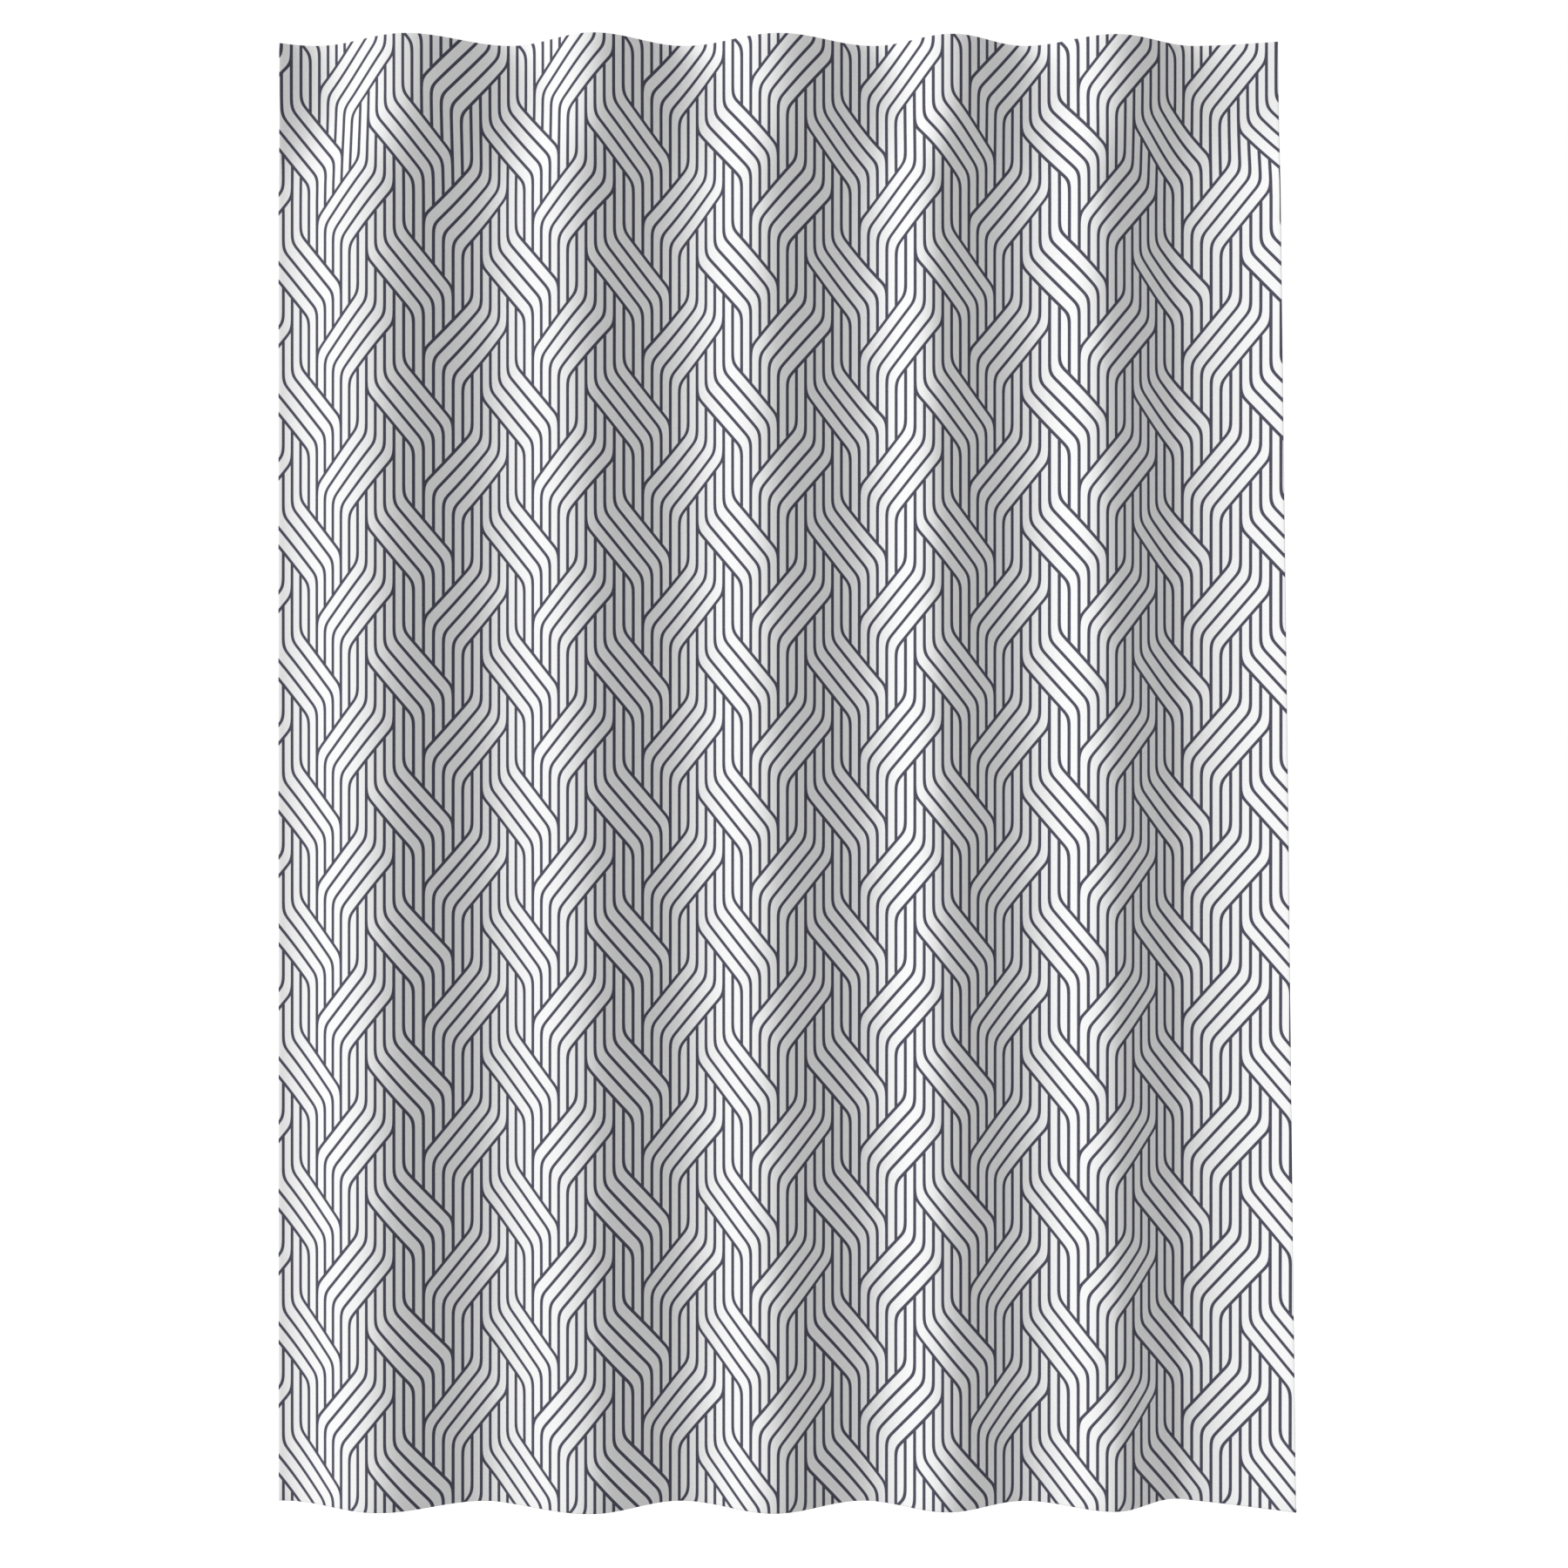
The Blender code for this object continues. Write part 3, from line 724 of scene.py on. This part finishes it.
def stitch_lines(start, end, cloth):
    """Polylines that the stitch rows follow, as lists of points just behind the sewn layer."""
    left = start + (STITCH_END if start == LEFT_EDGE else cloth.stitch_pitch / 2)
    right = end - (STITCH_END if end == RIGHT_EDGE else cloth.stitch_pitch / 2)
    xs = np.linspace(left, right, max(2, round((right - left) / 0.003)) + 1)
    lines = []
    proud = cloth.thickness + cloth.thread_radius * STITCH_PROUD
    for z in (TAPE_TOP - STITCH_INSET, TAPE_BOTTOM + STITCH_INSET):
        lines.append(hung_surface(xs, np.full_like(xs, z), tape_back(xs, cloth) + proud))
    deep = SIDE_HEM_LAYERS * cloth.layer * on_side_hem(xs)
    on_hem = deep + cloth.layer + cloth.thickness / 2 + cloth.thread_radius * STITCH_PROUD
    lines.append(hung_surface(xs, np.full_like(xs, HEM_TOP - STITCH_INSET), on_hem))
    zs = np.arange(HEM_TOP + 0.002, TAPE_BOTTOM - 0.002, 0.01)
    for edge, sign in ((LEFT_EDGE, 1), (RIGHT_EDGE, -1)):
        if abs((start if sign > 0 else end) - edge) < 1e-6:
            x = np.full_like(zs, edge + sign * (SIDE_HEM_WIDTH - STITCH_INSET))
            on_side = SIDE_HEM_LAYERS * cloth.layer + cloth.thickness / 2 + cloth.thread_radius * STITCH_PROUD
            lines.append(hung_surface(x, zs, np.full_like(zs, on_side)))
    return lines


class CURTAIN_OT_stitches(bpy.types.Operator):
    """Make the rows of stitches on tape and hems, with geometry nodes"""
    bl_idname = "curtain.stitches"
    bl_label = "Stitches"

    def execute(self, context):
        cloth = context.scene.curtain_cloth
        thread = material_named("Spun sewing thread", spun_thread)
        tree = stitch_tree(thread)
        values = {"Pitch": cloth.stitch_pitch, "Stitch length": cloth.stitch_length,
                  "Thread radius": cloth.thread_radius}
        for name, line, start, end, before, after in stretches():
            guide = bpy.data.meshes.new("guide")
            points, edges = [], []
            for row in stitch_lines(start, end, cloth):
                edges += [(len(points) + i, len(points) + i + 1) for i in range(len(row) - 1)]
                points += row.tolist()
            guide.from_pydata(points, edges, [])
            piece = bake_nodes(f"stitches_{name}", guide, tree, values)
            piece.data.shade_smooth()
            bend_over(piece)
        return {"FINISHED"}


# ---------------------------------------------------------------- hooks and their pockets

HOOK_STRIP = 0.0022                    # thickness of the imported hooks' strip
HOOK_LEG_TOP = -0.014                  # height at which the leg ends, inside its pocket
HOOK_EDGE = 0.0007                     # rounding of the strip's corners
HOOK_TIP = 0.72                        # how far both ends narrow
CROOK_TIP = 0.003                      # straight end of the crook
POCKET_WALL = 0.0005
POCKET_EDGE = 0.0009                   # rounding of the pocket's corners
POCKET_SWELL = 0.06                    # how much narrower its rims are than its middle


def hook_body(number):
    """The body that hook and pocket number i ride on."""
    return {1: "left_end", 6: "right_end"}.get(number, f"hanger_{number}")


def rounded_ring(half_x, half_y, radius, steps):
    """Corners of a rounded rectangle, counter-clockwise."""
    ring = []
    for corner, (sx, sy) in enumerate(((1, 1), (-1, 1), (-1, -1), (1, -1))):
        for i in range(steps + 1):
            angle = math.pi / 2 * (corner + i / steps)
            ring.append((sx * (half_x - radius) + radius * math.cos(angle),
                         sy * (half_y - radius) + radius * math.sin(angle)))
    return ring


def hook_route(low, high):
    """Middle line of a hook's strip as (y, z, direction): leg, bend, shank and crook, from its packed box."""
    leg_y = low[1] + HOOK_STRIP / 2
    crook = high[1] - HOOK_STRIP / 2
    crook_z = high[2] - HOOK_STRIP / 2 - crook
    bend = (-crook - leg_y) / 2
    bend_z = low[2] + HOOK_STRIP / 2 + bend
    route = [(leg_y, HOOK_LEG_TOP, -math.pi / 2), (leg_y, bend_z + 0.012, -math.pi / 2)]
    for i in range(13):
        angle = math.pi + math.pi * i / 12
        route.append((leg_y + bend + bend * math.cos(angle), bend_z + bend * math.sin(angle),
                      angle + math.pi / 2))
    for i in range(21):
        angle = math.pi - math.pi * i / 20
        route.append((crook * math.cos(angle), crook_z + crook * math.sin(angle), angle - math.pi / 2))
    route.append((crook, crook_z - CROOK_TIP, -math.pi / 2))
    return route


def closed_sweep(name, rings, material, round_again=False):
    """A closed solid through rings of points: capped, or with its last ring joined to its first."""
    shape = bmesh.new()
    verts = [[shape.verts.new(point) for point in ring] for ring in rings]
    count = len(rings[0])
    for ring, following in zip(verts, verts[1:] + verts[:1] if round_again else verts[1:]):
        for i in range(count):
            j = (i + 1) % count
            shape.faces.new((ring[i], ring[j], following[j], following[i]))
    if not round_again:
        shape.faces.new(verts[0])
        shape.faces.new(verts[-1])
    bmesh.ops.recalc_face_normals(shape, faces=shape.faces)
    mesh = bpy.data.meshes.new(name)
    shape.to_mesh(mesh)
    shape.free()
    mesh.materials.append(material)
    keep_normals_true(mesh)
    return link_object(name, mesh)


class CURTAIN_OT_hooks(bpy.types.Operator):
    """Make the moulded hooks that carry the curtain"""
    bl_idname = "curtain.hooks"
    bl_label = "Hooks"

    def execute(self, context):
        acetal = material_named("Moulded acetal", moulded_acetal)
        for i, x in enumerate(VALLEY_X, start=1):
            low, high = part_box(f"hook_{i}")
            rings = []
            route = hook_route(low, high)
            for place, (y, z, direction) in enumerate(route):
                ends = min(place, len(route) - 1 - place)
                size = HOOK_TIP if ends == 0 else 1.0
                across = (-math.sin(direction), math.cos(direction))
                ring = rounded_ring((high[0] - low[0]) / 2 * size, HOOK_STRIP / 2 * size, HOOK_EDGE * size, 3)
                rings.append([(x + a, y + b * across[0], z + b * across[1]) for a, b in ring])
            piece = closed_sweep(f"moulded_hook_{i}", rings, acetal)
            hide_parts(f"hook_{i}")
            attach(piece, hook_body(i))
        return {"FINISHED"}


class CURTAIN_OT_pockets(bpy.types.Operator):
    """Make the woven pockets on the tape that hold the hooks' legs"""
    bl_idname = "curtain.pockets"
    bl_label = "Hook pockets"

    def execute(self, context):
        tape = material_named("Woven heading tape", woven_tape)
        for i, x in enumerate(VALLEY_X, start=1):
            low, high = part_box(f"hook_pocket_{i}")
            centre_y = (low[1] + high[1]) / 2
            half_x, half_y = (high[0] - low[0]) / 2, (high[1] - low[1]) / 2
            rings = []
            levels = np.linspace(low[2], high[2], 9)
            for inner in (0, 1):
                order = levels if inner == 0 else levels[::-1]
                for z in order:
                    swell = 1 - POCKET_SWELL * math.cos(2 * math.pi * (z - low[2]) / (high[2] - low[2]))
                    ring = rounded_ring((half_x - inner * POCKET_WALL) * swell,
                                        half_y * swell - inner * POCKET_WALL, POCKET_EDGE, 4)
                    rings.append([(x + a, centre_y + b, z) for a, b in ring])
            piece = closed_sweep(f"woven_pocket_{i}", rings, tape, round_again=True)
            mesh = piece.data
            layer = mesh.uv_layers.new(name="cloth")
            for corner in mesh.loops:
                place = mesh.vertices[corner.vertex_index].co
                layer.data[corner.index].uv = (place.x + place.y, place.z)
            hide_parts(f"hook_pocket_{i}")
            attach(piece, hook_body(i))
        return {"FINISHED"}


CORD_SIDES = 10


class CURTAIN_OT_weights(bpy.types.Operator):
    """Make the braided weight cord inside the bottom hem"""
    bl_idname = "curtain.weights"
    bl_label = "Weight cord"

    def execute(self, context):
        cloth = context.scene.curtain_cloth
        sleeve = material_named("Braided weight cord", braided_cord)
        low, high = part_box("hem_weight_fold_1a")
        radius = (high[2] - low[2]) / 2
        for name, line, start, end, before, after in stretches():
            left = VALLEY_X[0] if start == LEFT_EDGE else start
            right = VALLEY_X[-1] if end == RIGHT_EDGE else end
            xs = np.linspace(left, right, max(2, round((right - left) / cloth.column)) + 1)
            rings = []
            for k in range(CORD_SIDES):
                angle = 2 * math.pi * k / CORD_SIDES
                z = np.full_like(xs, CLOTH_BOTTOM + cloth.weight_bulge + radius * math.sin(angle))
                back = np.full_like(xs, cloth.weight_bulge + radius * math.cos(angle))
                rings.append(hung_surface(xs, z, back))
            piece = closed_sweep(f"weight_cord_{name}", np.stack(rings, 1).tolist(), sleeve)
            bend_over(piece)
            for body in (before, after):
                if body in BODIES[1:-1]:
                    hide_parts(f"hem_weight_{body}")
        return {"FINISHED"}


# ---------------------------------------------------------------- stage

SENSOR = 36.0                          # width of the camera's sensor, in mm
FLOOR_CLEARANCE = 0.03                 # the curtain hangs this far above the floor
FLOOR_WIDTH = 24.0


class CURTAIN_OT_stage(bpy.types.Operator):
    """Set up the pale floor, the soft light and the camera"""
    bl_idname = "curtain.stage"
    bl_label = "Stage"

    def execute(self, context):
        scene = context.scene
        stage = scene.curtain_stage
        camera = bpy.data.objects.new("camera", bpy.data.cameras.new("camera"))
        scene.collection.objects.link(camera)
        cloth_y = (VALLEY_Y + sum(RIDGE_Y) / len(RIDGE_Y)) / 2
        camera.location = (stage.centre_x, cloth_y - stage.distance, stage.centre_z)
        camera.rotation_euler = (math.radians(90), 0, 0)
        camera.data.sensor_width = SENSOR
        camera.data.lens = SENSOR * stage.distance / stage.view_width
        scene.camera = camera

        suns = (("key", -stage.key_azimuth, stage.key_height, stage.key_strength),
                ("back", stage.back_azimuth, stage.back_height, stage.back_strength))
        for name, azimuth, height, strength in suns:
            sun = bpy.data.lights.new(name, "SUN")
            sun.energy = strength
            sun.angle = stage.key_softness
            light = bpy.data.objects.new(name, sun)
            towards = Vector((math.sin(azimuth) * math.cos(height), -math.cos(azimuth) * math.cos(height),
                              math.sin(height)))
            light.rotation_euler = towards.to_track_quat("Z", "Y").to_euler()
            light.location = towards * 3
            scene.collection.objects.link(light)

        world = bpy.data.worlds.new("studio")
        scene.world = world
        world.use_nodes = True
        tree = world.node_tree
        tree.nodes.clear()
        seen = node(tree, "ShaderNodeLightPath")
        strength = node(tree, "ShaderNodeMapRange",
                        {"Value": seen, "To Min": stage.fill_strength, "To Max": 1.0})
        light_all_round = node(tree, "ShaderNodeBackground", {"Color": (1, 1, 1, 1), "Strength": strength})
        node(tree, "ShaderNodeOutputWorld", {"Surface": light_all_round})

        floor_z = CLOTH_BOTTOM - FLOOR_CLEARANCE
        half = FLOOR_WIDTH / 2
        mesh = bpy.data.meshes.new("floor")
        mesh.from_pydata([(-half, -half, floor_z), (half, -half, floor_z), (half, half, floor_z),
                          (-half, half, floor_z)], [], [(0, 1, 2, 3)])
        floor = link_object("floor", mesh)
        material, tree = new_material("Pale painted floor")
        shader = node(tree, "ShaderNodeBsdfPrincipled",
                      {"Base Color": linear("F2F2F2"), "Roughness": 0.9, "Specular IOR Level": 0.1,
                       "Emission Color": (1, 1, 1, 1), "Emission Strength": 0.5})
        node(tree, "ShaderNodeOutputMaterial", {"Surface": shader})
        mesh.materials.append(material)
        floor.visible_diffuse = False
        scene.view_settings.view_transform = "Standard"
        return {"FINISHED"}


class CURTAIN_PT_panel(bpy.types.Panel):
    """The curtain's pieces, in the order in which they are made"""
    bl_label = "Shower Curtain"
    bl_idname = "CURTAIN_PT_panel"
    bl_space_type = "VIEW_3D"
    bl_region_type = "UI"
    bl_category = "Curtain"

    def draw(self, context):
        for settings in (context.scene.curtain_cloth, context.scene.curtain_print, context.scene.curtain_stage):
            for key in settings.bl_rna.properties.keys():
                if key not in ("rna_type", "name"):
                    self.layout.prop(settings, key)
        for operator in OPERATORS:
            self.layout.operator(operator.bl_idname)


OPERATORS = (CURTAIN_OT_cloth, CURTAIN_OT_tape, CURTAIN_OT_stitches, CURTAIN_OT_hooks, CURTAIN_OT_pockets,
             CURTAIN_OT_weights, CURTAIN_OT_stage)
CLASSES = (CurtainCloth, CurtainPrint, CurtainStage, *OPERATORS, CURTAIN_PT_panel)


def register():
    for cls in CLASSES:
        bpy.utils.register_class(cls)
    bpy.types.Scene.curtain_cloth = bpy.props.PointerProperty(type=CurtainCloth)
    bpy.types.Scene.curtain_print = bpy.props.PointerProperty(type=CurtainPrint)
    bpy.types.Scene.curtain_stage = bpy.props.PointerProperty(type=CurtainStage)


def unregister():
    del bpy.types.Scene.curtain_stage
    del bpy.types.Scene.curtain_print
    del bpy.types.Scene.curtain_cloth
    for cls in reversed(CLASSES):
        bpy.utils.unregister_class(cls)


def main():
    register()
    bpy.ops.curtain.cloth()
    bpy.ops.curtain.tape()
    bpy.ops.curtain.stitches()
    bpy.ops.curtain.hooks()
    bpy.ops.curtain.pockets()
    bpy.ops.curtain.weights()
    bpy.ops.curtain.stage()


if __name__ == "__main__":
    main()
